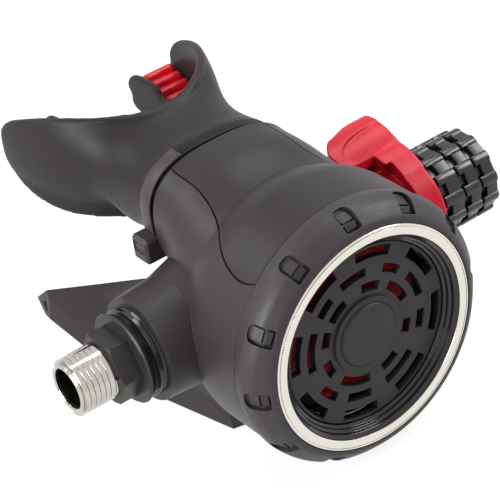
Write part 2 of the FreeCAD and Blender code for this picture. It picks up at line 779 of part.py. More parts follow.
def venturi_lever():
    hub = turned_x([(hub_back_x, 0), (hub_back_x, hub_back_r), (notch_x, hub_r - 0.4), (hub_front_x - 0.8, hub_r),
                    (hub_front_x, hub_r - 0.8), (hub_front_x, 0)])
    clear = rod(boss_right_r + play, hub_back_x - 20, hub_back_x - 0.001)
    plate = paddle().cut(clear)
    whole = fused([hub, plate, lever_neck()]).cut(rod(sleeve_r + 0.02, 10, 60))
    notch = sector_x(hub_r + 12, hub_back_x - 1, notch_x, *notch_angles)
    notch = notch.cut(rod(boss_right_r - 1.5 - play, hub_back_x - 2, notch_x + 1))
    reach = turned_x([(hub_back_x - 1, 0), (hub_back_x - 1, 15), (notch_x, 15), (notch_x, 0)])
    return whole.cut(notch.common(reach))


def adjusting_knob():
    """Knob with three rows of blocks: ribs that reach over the grooves, and valleys between them."""
    pieces = []
    for rib_start, valley_start, end in knob_rows:
        pieces.append(rod(knob_valley_r, valley_start, end))
        for rib in range(knob_ribs):
            bar = Part.makeCylinder(knob_rib_radius, end - rib_start,
                                    V(rib_start, knob_rib_r - knob_rib_radius, 0), X_AXIS)
            pieces.append(around_x(bar, knob_first_angle + rib * 360 / knob_ribs))
    core = rod(knob_groove_r, knob_rows[0][1], knob_end_x)
    whole = core.multiFuse(pieces)
    end_round = turned_x([(40, 0), (40, 20), (knob_end_x - 1.4, 20), (knob_end_x - 1.4, knob_rib_r),
                          (knob_end_x - 0.6, knob_rib_r - 0.4), (knob_end_x, knob_rib_r - 1.2), (knob_end_x, 0)])
    whole = whole.common(end_round)
    whole = whole.cut(rod(sleeve_r + slide_gap, 40, knob_socket_x))
    whole = whole.cut(rod(key_stem_r, knob_rows[0][0] - 1, key_end_x))
    return whole.removeSplitter()


def bezel_ring():
    inside = [(bezel_seat_y, trim_r[1] + slide_gap), (bezel_seat_y, clamp_bore_r), (bezel_clamp_y, clamp_bore_r),
              (bezel_clamp_y, neck_r + slide_gap), (bezel_back_y, neck_r + slide_gap), (bezel_back_y, drum_r)]
    half_section = rounded_face(bezel_profile, inside, lambda y, r: V(r, y, 0))
    ring = half_section.revolve(V(0, 0, 0), Y_AXIS, 360)
    pocket = window()
    for k in range(window_count):
        ring = ring.cut(around_y(pocket, window_first_angle + 360 / window_count * k))
    return ring


def window():
    """Pocket in the shoulder of the bezel at +X, with two blocks left standing in it."""
    length, width = window_size
    plan = box(0, length, -width / 2, width / 2, -2, 3)
    for end_x, r in zip((0, length), window_corner_r):
        upright = [e for e in plan.Edges if e.BoundBox.ZLength > 4 and abs(e.BoundBox.XMin - end_x) < 0.01]
        plan = plan.makeFillet(r, upright)
    along = lambda s, h: V(s, -width / 2, h)
    pocket = outline_face(window_floor + ((length, 3), (0, 3)), along).extrude(V(0, width, 0)).common(plan)
    for block in window_blocks:
        bar = outline_face(block, along).extrude(V(0, width, 0))
        pocket = pocket.cut(bar.common(box(0, length, window_moat - width / 2, width / 2 - window_moat, -2, 3)))
    heading = V(*window_heading, 0).normalize()
    outward = V(-heading.y, heading.x, 0)
    turn = FreeCAD.Rotation(heading, outward.cross(heading), outward, "ZXY")
    pocket.Placement = FreeCAD.Placement(V(*window_start, 0), turn)
    return pocket


def trim_ring():
    inner, outer = trim_r
    return turned_y([(bezel_seat_y, inner), (trim_front_y + 0.3, inner), (trim_front_y, inner + 0.3),
                     (trim_front_y, outer - 0.6), (trim_front_y + 0.5, outer), (bezel_seat_y, outer)])


def cover_surround():
    """Stepped wall round the purge cover, which also guides the cover and seats its spring."""
    outline = [(y, r) for r, y in wall_slope]
    outline += [(-34.4, cover_r + slide_gap), (-34.4, guide_r), (ledge_y, guide_r), (ledge_y, ledge_bore_r),
                (ledge_y + ledge_thickness, ledge_bore_r), (ledge_y + ledge_thickness, guide_r + 1.2),
                (bezel_clamp_y, guide_r + 1.6), (bezel_clamp_y, clamp_bore_r - slide_gap),
                (bezel_seat_y + 0.05, clamp_bore_r - slide_gap), (bezel_seat_y + 0.05, 26.05)]
    return turned_y(outline)


def purge_cover():
    cover = turned_y([(cover_front_y, 0), (cover_front_y, cover_r - 0.3), (cover_front_y + 0.3, cover_r),
                      (-34.3, cover_r), (-34.3, cover_flange_r), (cover_back_y, cover_flange_r),
                      (cover_back_y, 0)])
    boss = disc(pad_r + 1.6, pad_front_y + 0.5, cover_front_y + 0.1)
    cover = cover.fuse(boss).cut(disc(pad_r + 0.1, pad_front_y - 1, cover_front_y + 0.6))
    cover = cover.cut(disc(3.1, cover_front_y - 2, cover_back_y + 1))
    slots = [outer_slot(k) for k in range(outer_slot_count)]
    for spans, radii in ((middle_slot_spans, middle_slots), (inner_slot_spans, inner_slots)):
        for start, end in spans:
            slots.append(sector_y(radii[0], radii[1], cover_front_y - 2, cover_back_y + 1, start, end))
    return cover.cut(slots[0].multiFuse(slots[1:]))


def outer_slot(index):
    middle = outer_slot_first - index * 360 / outer_slot_count
    half = outer_slot_span / 2
    return sector_y(outer_slots[0], outer_slots[1], cover_front_y - 2, cover_back_y + 1, middle - half,
                    middle + half)


def purge_pad():
    """Round pad in the middle of the cover, with a stem that reaches back to the diaphragm's plate."""
    face_back = cover_front_y + 0.6
    return turned_y([(pad_front_y, 0), (pad_front_y, pad_r - 0.4), (pad_front_y + 0.4, pad_r), (face_back, pad_r),
                     (face_back, 3.1), (cover_back_y + 2, 3.1), (plate_front_y - play, 2.4),
                     (plate_front_y - play, 0)])


def purge_spring():
    start = cover_back_y + purge_spring_wire_r + soft_gap
    end = ledge_y - purge_spring_wire_r - soft_gap
    gap = coil_gap(purge_spring_mean_r, purge_spring_wire_r, purge_spring_turns, end - start)
    print("purge_spring least gap", round(gap, 2))
    return coil(purge_spring_mean_r, purge_spring_wire_r, purge_spring_turns, start, end - start, Y_AXIS)


def diaphragm():
    """Soft dish: a rim clamped by the bezel, a deep fold, and a flat middle under the plate."""
    inner, outer = rim_r
    m = membrane
    y = membrane_back_y
    outline = [(rim_front_y, outer), (rim_front_y, inner - m), (y - 3.2, inner - 1.9), (y - m, inner - 3.6),
               (y - m, 0), (y, 0), (y, inner - 3.2), (y - 3.0, inner - 1.1), (neck_front_y - 1.2, inner),
               (neck_front_y, inner + 0.3), (neck_front_y, outer)]
    return turned_y(outline)


def diaphragm_plate():
    y = plate_front_y
    return turned_y([(y, 0), (y, 6.0), (y + 0.25, 6.6), (y + 0.25, plate_r - 2.0), (y - 0.35, plate_r - 1.2),
                     (y - 0.35, plate_r), (plate_back_y, plate_r), (plate_back_y, 0)])


def diaphragm_button():
    return disc(button_r, membrane_back_y, button_back_y)


def friction_washer():
    return disc(rim_r[1], bezel_clamp_y, rim_front_y).cut(disc(rim_r[0], bezel_clamp_y - 1, rim_front_y + 1))


def exhaust_valve():
    low = port_boss_height
    flap = Part.makeCylinder(flap_r, flap_thickness, V(0, 0, low), Z_AXIS)
    stem = Part.makeCylinder(1.2, wall + low, V(0, 0, -wall), Z_AXIS)
    bulb = Part.makeCone(2.0, 0.8, 2.4, V(0, 0, -wall), V(0, 0, -1))
    return on_port(fused([flap, stem, bulb]))


def tee_outline(station, inset):
    """One section of the exhaust tee across X: six corners, drawn in by the wall."""
    x, corners = station
    cy = sum(y for y, z in corners) / len(corners)
    cz = sum(z for y, z in corners) / len(corners)
    points = []
    for y, z in corners:
        reach = math.hypot(y - cy, z - cz)
        share = 1 - inset * 1.25 / reach
        points.append(V(x, cy + (y - cy) * share, cz + (z - cz) * share))
    return Part.makePolygon(points + points[:1])


def tee_stations():
    """Places across X and, at each, the duct's corners: floor, back, top and front."""
    bottom, top = tee_bottom_z, tee_top_z
    return ((0.0, ((-6.0, bottom), (24.0, bottom), (36.0, -20.0), (26.0, -9.0), (13.0, top), (-8.0, -30.0))),
            (19.5, ((-1.0, bottom), (24.6, bottom), (35.5, -20.0), (32.0, -8.0), (25.3, top), (0.0, -29.0))),
            (30.0, ((27.5, -31.0), (31.0, -30.5), (41.0, -17.0), (38.0, -6.8), (32.9, top), (28.8, -23.0))),
            (tee_tip_x, ((42.6, -12.0), (44.6, -11.5), (47.0, -7.2), (44.4, -5.0), (41.0, top), (41.0, -5.0))))


def tee_body(inset):
    stations = tee_stations()
    if inset:
        tip = stations[-1]
        stations = stations[:-1] + ((tip[0] + 0.01, tip[1]),)
    right = Part.makeLoft([tee_outline(s, inset) for s in stations], True, True)
    return right.fuse(mirrored(right))


def exhaust_tee():
    shell = tee_body(0).cut(tee_body(tee_wall))
    outlet = box(*outlet_x_span, *outlet_y_span, *outlet_z_span)
    outlet = outlet.makeFillet(2.0, [edge for edge in outlet.Edges if edge.BoundBox.YLength > 1])
    shell = shell.cut(outlet).cut(mirrored(outlet))
    tee = shell.cut(body_shape(-slide_gap)).cut(boss_left(slide_gap)).cut(rod(boss_right_r + slide_gap, 0, 40))
    tee = tee.cut(port_cylinder(port_boss_r + slide_gap, -20, flap_thickness + 4))
    return tee


def mouth_prism(grow):
    """Upright prism over the half oval that the guard's middle layer follows in plan."""
    half_w, half_d = shield_axes
    major, minor = sorted((half_w + grow, half_d + grow), reverse=True)
    ellipse = Part.Ellipse(V(0, shield_centre_y + major, -5), V(minor, shield_centre_y, -5),
                           V(0, shield_centre_y, -5))
    return Part.Face(Part.Wire(ellipse.toShape())).extrude(V(0, 0, 45))


def shield():
    """Curved guard that lies between the lips and the gums: a bent strip cut to its side outline."""
    strip = mouth_prism(shield_thickness / 2).cut(mouth_prism(-shield_thickness / 2))
    strip = strip.common(box(-40, 40, 30, shield_top[-1][0] + 5, -5, 40))
    edges = []
    for line in (shield_top, shield_bottom):
        curve = Part.BSplineCurve()
        curve.interpolate([V(-40, y, z) for y, z in line])
        edges.append(curve.toShape())
    corners = [V(-40, *shield_top[-1]), V(-40, *shield_bottom[0]), V(-40, *shield_bottom[-1]),
               V(-40, *shield_top[0])]
    edges.append(Part.LineSegment(corners[0], corners[1]).toShape())
    edges.append(Part.LineSegment(corners[2], corners[3]).toShape())
    side = Part.Face(Part.Wire(Part.__sortEdges__(edges))).extrude(V(80, 0, 0))
    return strip.common(side)


def lug(side):
    """Upright two-lobed tab behind the teeth, on the inner side of a bite pad."""
    x0, x1 = sorted((side * lug_x[0], side * lug_x[1]))
    return rounded_face(lug_side, [], lambda y, z: V(x0, y, z)).extrude(V(x1 - x0, 0, 0))


def mouthpiece():
    a, b, z, power = neck_oval
    land = spigot_inset - mouth_wall
    bore_size = spigot_inset - soft_gap
    sleeve = oval_loft([(a - land, b - land, z, power, y) for y in (sleeve_y, strap_y[1] + 0.5)])
    side = lambda y, z: V(-40, y, z)
    top_edge = [(y, z - rim_step) for y, z in shield_top]
    low_edge = [(y, z + rim_step) for y, z in shield_bottom]
    above = rounded_face(top_edge, [(90, top_edge[-1][1]), (90, 60), (top_edge[0][0], 60)], side)
    below = rounded_face(low_edge, [(low_edge[-1][0], -30), (90, -30), (90, low_edge[0][1])], side)
    outside = [face.extrude(V(80, 0, 0)) for face in (above, below)]
    flare = oval_loft([(w, h, cz, p, y) for y, w, h, cz, p in flare_stations])
    flesh = flare.cut([mouth_prism(-shield_thickness / 2)] + outside)
    body = fused([sleeve, flesh, shield(), lug(-1), lug(1)])
    bore = oval_loft([(a - bore_size, b - bore_size, z, power, y) for y in (sleeve_y - 1, spigot_end_y + 0.2)])
    throat = oval_loft([(w, h, cz, p, y) for y, w, h, cz, p in throat_stations])
    return body.cut(bore).cut(throat)


def bite_pad(side):
    """Red grip between the teeth, with round-ended ribs across it, above and below."""
    x0, x1 = sorted((side * lug_x[1], side * pad_end_x))
    half = pad_length / 2
    pieces = [box(x0, x1, -half, half, -pad_half_thickness, pad_half_thickness)]
    start = x0 + pad_rib_end_gap + pad_rib_r
    length = x1 - x0 - 2 * (pad_rib_end_gap + pad_rib_r)
    rise = pad_rib_rise + pad_half_thickness - pad_rib_r
    for k in range(pad_rib_count):
        y = (k - (pad_rib_count - 1) / 2) * pad_rib_pitch
        for z in (-rise, rise):
            pieces.append(Part.makeCylinder(pad_rib_r, length, V(start, y, z), X_AXIS))
            pieces.append(Part.makeSphere(pad_rib_r, V(start, y, z)))
            pieces.append(Part.makeSphere(pad_rib_r, V(start + length, y, z)))
    pad = fused(pieces)
    pad.rotate(V(0, 0, 0), X_AXIS, pad_tilt)
    pad.translate(V(0, *pad_centre))
    return pad.common(mouth_prism(-shield_thickness / 2 - soft_gap))


def tie_strap():
    a, b, z, power = neck_oval
    land = spigot_inset - mouth_wall
    outer = land - strap_thickness
    band = oval_loft([(a - outer, b - outer, z, power, y) for y in strap_y])
    return band.cut(oval_loft([(a - land + soft_gap, b - land + soft_gap, z, power, y)
                               for y in (strap_y[0] - 1, strap_y[1] + 1)]))


def tie_head():
    """Block of the strap's catch, with the cut end of the strap in its slot."""
    w, d, h = tie_head_size
    x, y, z = tie_head_centre
    block = box(x - w / 2, x + w / 2, y - d / 2, y + d / 2, z - h / 2, z + h / 2)
    block = block.makeChamfer(tie_head_chamfer, block.Edges)
    face_x = x - w / 2
    half, low, high = catch_window
    slot = box(face_x - 1, face_x + catch_depth, y - half, y + half, z + low, z + high)
    half, low, high = catch_tongue
    slot = slot.cut(box(face_x + 0.2, face_x + catch_depth + 1, y - half, y + half, z + low, z + high))
    a, b, cz, power = neck_oval
    outer = spigot_inset - mouth_wall - strap_thickness - soft_gap
    band = oval_loft([(a - outer, b - outer, cz, power, yy) for yy in (strap_y[0] - 3, strap_y[1] + 3)])
    return block.cut(slot).cut(band).cut(body_shape(-slide_gap))


NODES = {
    "housing": housing, "top_panel": top_panel, "inlet_fitting": inlet_fitting, "inlet_nut": inlet_nut,
    "inlet_seal": inlet_seal, "valve_barrel": valve_barrel, "orifice": orifice, "orifice_ring": orifice_ring,
    "poppet": poppet, "poppet_seat": poppet_seat, "poppet_spring": poppet_spring,
    "adjusting_screw": adjusting_screw, "screw_ring": screw_ring, "drive_key": drive_key,
    "packing_nut": packing_nut, "packing_ring": packing_ring, "demand_lever": demand_lever,
    "venturi_sleeve": venturi_sleeve, "venturi_lever": venturi_lever, "adjusting_knob": adjusting_knob,
    "bezel_ring": bezel_ring, "trim_ring": trim_ring, "cover_surround": cover_surround,
    "purge_cover": purge_cover, "purge_pad": purge_pad, "purge_spring": purge_spring,
    "diaphragm": diaphragm, "diaphragm_plate": diaphragm_plate, "diaphragm_button": diaphragm_button,
    "friction_washer": friction_washer, "exhaust_valve": exhaust_valve, "exhaust_tee": exhaust_tee,
    "mouthpiece": mouthpiece, "bite_pad_left": lambda: bite_pad(-1), "bite_pad_right": lambda: bite_pad(1),
    "tie_strap": tie_strap, "tie_head": tie_head,
}


def main():
    os.makedirs("parts", exist_ok=True)
    for name, make in NODES.items():
        shape = make()
        shape.translate(V(-inlet_x, 0, 0))
        solids = shape.Solids
        shape = solids[0] if len(solids) == 1 else Part.makeCompound(solids)
        print(name, len(solids), "valid" if shape.isValid() else "INVALID", round(shape.Volume, 1))
        shape.exportStep(f"parts/{name}.step")


main()
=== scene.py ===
import bpy
import bmesh
import math
from mathutils import Matrix, Vector


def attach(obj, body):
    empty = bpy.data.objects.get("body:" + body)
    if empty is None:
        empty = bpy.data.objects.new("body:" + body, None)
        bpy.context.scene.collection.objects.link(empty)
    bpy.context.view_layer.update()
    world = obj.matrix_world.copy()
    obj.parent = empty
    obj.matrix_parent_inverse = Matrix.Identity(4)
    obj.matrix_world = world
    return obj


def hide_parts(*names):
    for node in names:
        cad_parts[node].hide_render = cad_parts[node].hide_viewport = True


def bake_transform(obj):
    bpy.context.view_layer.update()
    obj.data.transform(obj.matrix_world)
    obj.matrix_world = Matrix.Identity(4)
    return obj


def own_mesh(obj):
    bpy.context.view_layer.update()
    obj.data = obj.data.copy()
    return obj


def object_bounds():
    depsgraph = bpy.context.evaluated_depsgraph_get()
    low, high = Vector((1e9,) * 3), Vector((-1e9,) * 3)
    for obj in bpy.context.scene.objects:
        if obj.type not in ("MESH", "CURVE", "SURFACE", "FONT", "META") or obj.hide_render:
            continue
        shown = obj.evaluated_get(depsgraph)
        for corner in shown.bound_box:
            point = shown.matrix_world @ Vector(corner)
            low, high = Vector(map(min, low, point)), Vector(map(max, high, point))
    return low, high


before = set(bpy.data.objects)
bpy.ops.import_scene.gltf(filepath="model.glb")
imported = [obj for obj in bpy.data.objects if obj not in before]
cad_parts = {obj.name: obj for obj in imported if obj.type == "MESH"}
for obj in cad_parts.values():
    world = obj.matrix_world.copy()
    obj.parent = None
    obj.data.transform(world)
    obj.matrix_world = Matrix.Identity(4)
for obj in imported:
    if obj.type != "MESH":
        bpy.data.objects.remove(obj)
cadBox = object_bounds()

mm = 0.001
inletToCross = 61.7 * mm  # from the inlet's mouth to the crossing of the valve axis and the cover axis
samePoint = 0.002  # mm; points nearer than this are one point
finishes = {}  # materials by name


def hexColor(text):  # sRGB hex to linear RGBA
    channels = [int(text[i:i + 2], 16) / 255 for i in (1, 3, 5)]
    return [c / 12.92 if c <= 0.04045 else ((c + 0.055) / 1.055) ** 2.4 for c in channels] + [1.0]


def addNode(tree, kind, feeds=None, **settings):  # settings name a property of the node or one of its sockets
    node = tree.nodes.new(kind)
    for name, value in settings.items():
        if hasattr(node, name):
            setattr(node, name, value)
        else:
            node.inputs[name.replace("_", " ")].default_value = value
    for name, source in (feeds or {}).items():
        tree.links.new(source, node.inputs[name])
    return node


def perMm(size):  # noise scale, in waves per metre, for grains of that size in mm
    return 1000.0 / size


def startFinish(name):
    material = bpy.data.materials.new(name)
    material.use_nodes = True
    tree = material.node_tree
    tree.nodes.clear()
    output = addNode(tree, "ShaderNodeOutputMaterial")
    shader = addNode(tree, "ShaderNodeBsdfPrincipled")
    tree.links.new(shader.outputs["BSDF"], output.inputs["Surface"])
    place = addNode(tree, "ShaderNodeTexCoord").outputs["Object"]
    finishes[name] = material
    return tree, shader, place


# what all surfaces share: octaves of the clouds and of the grain, and the stretch of a noise that holds most
# of its values
surfaceNoise = {"cloudDetail": 3.0, "grainDetail": 4.0, "grainRoughness": 0.65, "low": 0.3, "high": 0.7,
                "edgeSamples": 4}


def surfaceNormal(tree, shader, height, look):  # softened edges under a grain that stands up by depth, in mm
    edge = addNode(tree, "ShaderNodeBevel", samples=surfaceNoise["edgeSamples"], Radius=look["edge"] * mm)
    bump = addNode(tree, "ShaderNodeBump", {"Height": height, "Normal": edge.outputs["Normal"]},
                   Strength=look["bump"], Distance=look["depth"] * mm)
    tree.links.new(bump.outputs["Normal"], shader.inputs["Normal"])


def spreadRoughness(tree, shader, value, low, high):  # a noise makes some spots duller than others
    spread = addNode(tree, "ShaderNodeMapRange", {"Value": value}, From_Min=surfaceNoise["low"],
                     From_Max=surfaceNoise["high"], To_Min=low, To_Max=high)
    tree.links.new(spread.outputs["Result"], shader.inputs["Roughness"])


def grainyFinish(name, look):  # a colour with faint clouding, and a grain in the surface; sizes in mm
    tree, shader, place = startFinish(name)
    clouds = addNode(tree, "ShaderNodeTexNoise", {"Vector": place}, Scale=perMm(look["cloud"]),
                     Detail=surfaceNoise["cloudDetail"])
    tint = addNode(tree, "ShaderNodeMix", {"Factor": clouds.outputs["Fac"]}, data_type="RGBA")
    tint.inputs["A"].default_value = hexColor(look["dark"])
    tint.inputs["B"].default_value = hexColor(look["light"])
    tree.links.new(tint.outputs["Result"], shader.inputs["Base Color"])
    grain = addNode(tree, "ShaderNodeTexNoise", {"Vector": place}, Scale=perMm(look["grain"]),
                    Detail=surfaceNoise["grainDetail"], Roughness=surfaceNoise["grainRoughness"])
    spreadRoughness(tree, shader, grain.outputs["Fac"], look["rough"] - look["roughSpread"],
                    look["rough"] + look["roughSpread"])
    surfaceNormal(tree, shader, grain.outputs["Fac"], look)
    for socket, value in look.get("sockets", {}).items():
        shader.inputs[socket].default_value = value


def gloss(level):  # how strongly a surface that isn't metal mirrors
    return {"Specular IOR Level": level}


bareMetal = {"Metallic": 1.0}

# sizes in mm; no grain is under 0.25, because real ones finer than that don't show and are drawn coarser
grainyLooks = {
    # glass-filled nylon from a spark-eroded mould: a dull, slightly warm black with a fine even grain
    "mouldedNylonShell": {
        "dark": "#272326", "light": "#2f2a2d", "cloud": 9.0, "grain": 0.45, "rough": 0.42,
        "roughSpread": 0.07, "bump": 0.5, "depth": 0.045, "edge": 0.35, "sockets": gloss(0.3)},
    # the cover panel is the same nylon from a smoother mould, so its sheen is softer and more even
    "mouldedNylonPanel": {
        "dark": "#221e22", "light": "#292428", "cloud": 12.0, "grain": 0.3, "rough": 0.44,
        "roughSpread": 0.05, "bump": 0.25, "depth": 0.025, "edge": 0.3, "sockets": gloss(0.26)},
    # nylon with a coarse leather-like grain that sparkles where the light strikes it
    "grainedNylonBezel": {
        "dark": "#272328", "light": "#302b2f", "cloud": 7.0, "grain": 0.6, "rough": 0.46,
        "roughSpread": 0.08, "bump": 0.9, "depth": 0.08, "edge": 0.35, "sockets": gloss(0.36)},
    # nylon from a polished mould, deep and wet looking
    "polishedBlackNylon": {
        "dark": "#0f0e10", "light": "#141316", "cloud": 14.0, "grain": 1.2, "rough": 0.15,
        "roughSpread": 0.03, "bump": 0.04, "depth": 0.02, "edge": 0.2, "sockets": gloss(0.5)},
    # satin acetal of the grille and its pad: an even dark grey without glare
    "satinBlackAcetal": {
        "dark": "#262326", "light": "#2d2a2d", "cloud": 8.0, "grain": 0.4, "rough": 0.42,
        "roughSpread": 0.05, "bump": 0.15, "depth": 0.02, "edge": 0.15, "sockets": gloss(0.25)},
    # aluminium, bead blasted and then anodised black: matt flats with soft bright edges
    "blackAnodisedNut": {
        "dark": "#211e1f", "light": "#292526", "cloud": 6.0, "grain": 0.25, "rough": 0.42,
        "roughSpread": 0.06, "bump": 0.2, "depth": 0.015, "edge": 0.25, "sockets": gloss(0.3)},
    # aluminium anodised black straight from the cutter: its ribs throw narrow bright streaks
    "blackAnodisedKnob": {
        "dark": "#151318", "light": "#1d1a20", "cloud": 5.0, "grain": 0.8, "rough": 0.24,
        "roughSpread": 0.05, "bump": 0.08, "depth": 0.02, "edge": 0.08, "sockets": gloss(0.5)},
    # red acetal, lightly textured: a strong red with a soft sheen
    "redAcetal": {
        "dark": "#c00222", "light": "#cb0829", "cloud": 8.0, "grain": 0.35, "rough": 0.38,
        "roughSpread": 0.06, "bump": 0.22, "depth": 0.02, "edge": 0.4, "sockets": gloss(0.3)},
    # plain red acetal of the disc on the membrane, seen dimly through the slots
    "redAcetalDisc": {
        "dark": "#b00a18", "light": "#bd1020", "cloud": 8.0, "grain": 0.6, "rough": 0.4,
        "roughSpread": 0.05, "bump": 0.1, "depth": 0.02, "edge": 0.2, "sockets": gloss(0.25)},
    # soft black silicone: dull, slightly brown, with a faint bloom
    "blackSilicone": {
        "dark": "#1f1b1d", "light": "#262223", "cloud": 16.0, "grain": 0.5, "rough": 0.46,
        "roughSpread": 0.06, "bump": 0.25, "depth": 0.04, "edge": 0.3, "sockets": gloss(0.2)},
    # thin black silicone sheet, matt all over
    "membraneSilicone": {
        "dark": "#1a1819", "light": "#211f20", "cloud": 10.0, "grain": 0.6, "rough": 0.5,
        "roughSpread": 0.05, "bump": 0.08, "depth": 0.02, "edge": 0.2, "sockets": gloss(0.2)},
    # bright red silicone of the bite pads: a little light goes through it
    "redSilicone": {
        "dark": "#d81222", "light": "#e21a2c", "cloud": 7.0, "grain": 0.5, "rough": 0.36,
        "roughSpread": 0.05, "bump": 0.08, "depth": 0.02, "edge": 0.2,
        "sockets": {**gloss(0.4), "Subsurface Weight": 0.12, "Subsurface Scale": 0.002}},
    # cable-tie nylon of the tail and the catch: a brownish dark grey, lighter than the band beside it
    "tieNylon": {
        "dark": "#37302f", "light": "#403838", "cloud": 6.0, "grain": 0.4, "rough": 0.4,
        "roughSpread": 0.05, "bump": 0.1, "depth": 0.02, "edge": 0.25, "sockets": gloss(0.3)},
    # the same nylon on the toothed band and its ridges, painted nearly black for the shade among the ridges
    # and in the groove the band lies in
    "tieNylonPaintedShade": {
        "dark": "#0f0d0e", "light": "#141213", "cloud": 6.0, "grain": 0.4, "rough": 0.4,
        "roughSpread": 0.05, "bump": 0.1, "depth": 0.02, "edge": 0.15, "sockets": gloss(0.16)},
    # moulded nitrile rubber of the O-rings: black with a slight oily sheen
    "nitrileRubber": {
        "dark": "#141314", "light": "#1a191a", "cloud": 5.0, "grain": 0.5, "rough": 0.4,
        "roughSpread": 0.05, "bump": 0.05, "depth": 0.01, "edge": 0.1, "sockets": gloss(0.3)},
    # chrome over brass: a warm white mirror with a faint haze
    "chromePlate": {
        "dark": "#bab6b0", "light": "#c6c2bc", "cloud": 4.0, "grain": 1.5, "rough": 0.09,
        "roughSpread": 0.03, "bump": 0.03, "depth": 0.02, "edge": 0.15, "sockets": bareMetal},
    # a thin flash of chrome on turned brass, so the yellow comes through
    "flashedBrass": {
        "dark": "#b7a67c", "light": "#c2b28b", "cloud": 6.0, "grain": 0.6, "rough": 0.22,
        "roughSpread": 0.05, "bump": 0.05, "depth": 0.01, "edge": 0.15, "sockets": bareMetal},
    # brass of the inlet's bore, painted dull and dark for the shade inside the hole
    "boreShadeBrass": {
        "dark": "#3f3b35", "light": "#4b4640", "cloud": 4.0, "grain": 0.5, "rough": 0.34,
        "roughSpread": 0.05, "bump": 0.1, "depth": 0.01, "edge": 0.1, "sockets": bareMetal},
    # drawn stainless wire and pressed strip: grey and fairly bright
    "springSteel": {
        "dark": "#a6a5a2", "light": "#b3b2af", "cloud": 3.0, "grain": 0.4, "rough": 0.25,
        "roughSpread": 0.06, "bump": 0.05, "depth": 0.01, "edge": 0.1, "sockets": bareMetal},
}
for finishName, finishLook in grainyLooks.items():
    grainyFinish(finishName, finishLook)

# polished stainless ring with fine lathe lines round the cover axis, so its glare runs along the ring; in mm,
# and the lines are drawn coarser than real ones, which are too fine to show
turnedLook = {"color": "#dcd8d0", "line": 0.18, "smoothest": 0.13, "roughest": 0.23, "bump": 0.08,
              "depth": 0.01, "edge": 0.04}


def turnedFinish(name, look):
    tree, shader, place = startFinish(name)
    centred = addNode(tree, "ShaderNodeVectorMath", {0: place}, operation="SUBTRACT")
    centred.inputs[1].default_value = (inletToCross, 0, 0)
    flat = addNode(tree, "ShaderNodeVectorMath", {0: centred.outputs[0]}, operation="MULTIPLY")
    flat.inputs[1].default_value = (1, 0, 1)
    radius = addNode(tree, "ShaderNodeVectorMath", {0: flat.outputs[0]}, operation="LENGTH")
    lines = addNode(tree, "ShaderNodeTexNoise", {"W": radius.outputs["Value"]}, noise_dimensions="1D",
                    Scale=perMm(look["line"]), Detail=surfaceNoise["cloudDetail"])
    spreadRoughness(tree, shader, lines.outputs["Fac"], look["smoothest"], look["roughest"])
    surfaceNormal(tree, shader, lines.outputs["Fac"], look)
    shader.inputs["Base Color"].default_value = hexColor(look["color"])
    shader.inputs["Metallic"].default_value = 1.0


turnedFinish("turnedStainless", turnedLook)
print("finishes made:", len(finishes))

nodeFinish = {
    "housing": "mouldedNylonShell", "top_panel": "mouldedNylonPanel", "inlet_fitting": "chromePlate",
    "inlet_nut": "blackAnodisedNut", "inlet_seal": "polishedBlackNylon", "valve_barrel": "flashedBrass",
    "orifice": "flashedBrass", "orifice_ring": "nitrileRubber", "poppet": "flashedBrass",
    "poppet_seat": "nitrileRubber", "poppet_spring": "springSteel", "adjusting_screw": "flashedBrass",
    "screw_ring": "nitrileRubber", "drive_key": "flashedBrass", "packing_nut": "flashedBrass",
    "packing_ring": "nitrileRubber", "demand_lever": "springSteel", "venturi_sleeve": "redAcetal",
    "venturi_lever": "redAcetal", "adjusting_knob": "blackAnodisedKnob", "bezel_ring": "grainedNylonBezel",
    "trim_ring": "turnedStainless", "cover_surround": "polishedBlackNylon", "purge_cover": "satinBlackAcetal",
    "purge_pad": "satinBlackAcetal", "purge_spring": "springSteel", "diaphragm": "membraneSilicone",
    "diaphragm_plate": "redAcetalDisc", "diaphragm_button": "springSteel",
    "friction_washer": "mouldedNylonPanel", "exhaust_valve": "membraneSilicone",
    "exhaust_tee": "mouldedNylonShell", "mouthpiece": "blackSilicone", "bite_pad_left": "redSilicone",
    "bite_pad_right": "redSilicone", "tie_strap": "tieNylon", "tie_head": "tieNylon",
}
for nodeName, finishName in nodeFinish.items():
    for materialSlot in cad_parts[nodeName].material_slots:
        materialSlot.material = finishes[finishName]
print("CAD nodes dressed:", len(nodeFinish))


def linked(name, mesh):
    piece = bpy.data.objects.new(name, mesh)
    bpy.context.scene.collection.objects.link(piece)
    return piece


def cleaned(mesh, merge=False, faceOut=False):  # joins points that coincide, turns the faces outwards
    work = bmesh.new()
    work.from_mesh(mesh)
    if merge:
        bmesh.ops.remove_doubles(work, verts=work.verts, dist=samePoint * mm)
    if faceOut:
        bmesh.ops.recalc_face_normals(work, faces=work.faces)
    work.to_mesh(mesh)
    work.free()
    return mesh


def mergedCopy(node):  # the CAD mesh of a node with its loose triangles joined up
    return cleaned(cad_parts[node].data.copy(), merge=True)


def builtMesh(name, points, faces, merge=False):  # a closed mesh from points in metres
    mesh = bpy.data.meshes.new(name)
    mesh.from_pydata(points, [], faces)
    return cleaned(mesh, merge=merge, faceOut=True)


def settled(piece):  # applies the modifiers and leaves one plain mesh
    mesh = bpy.data.meshes.new_from_object(piece.evaluated_get(bpy.context.evaluated_depsgraph_get()))
    piece.modifiers.clear()
    piece.data = mesh
    return piece


def dressed(piece, finish, body, node, sharp=None):  # sharp: degrees from which an edge stays crisp
    piece.data.materials.clear()
    piece.data.materials.append(finishes[finish])
    for face in piece.data.polygons:
        face.use_smooth = True
    if sharp:
        piece.data.set_sharp_from_angle(angle=math.radians(sharp))
    if body:
        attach(piece, body)
    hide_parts(node)
    print(piece.name, "faces:", len(piece.data.polygons))
    return piece


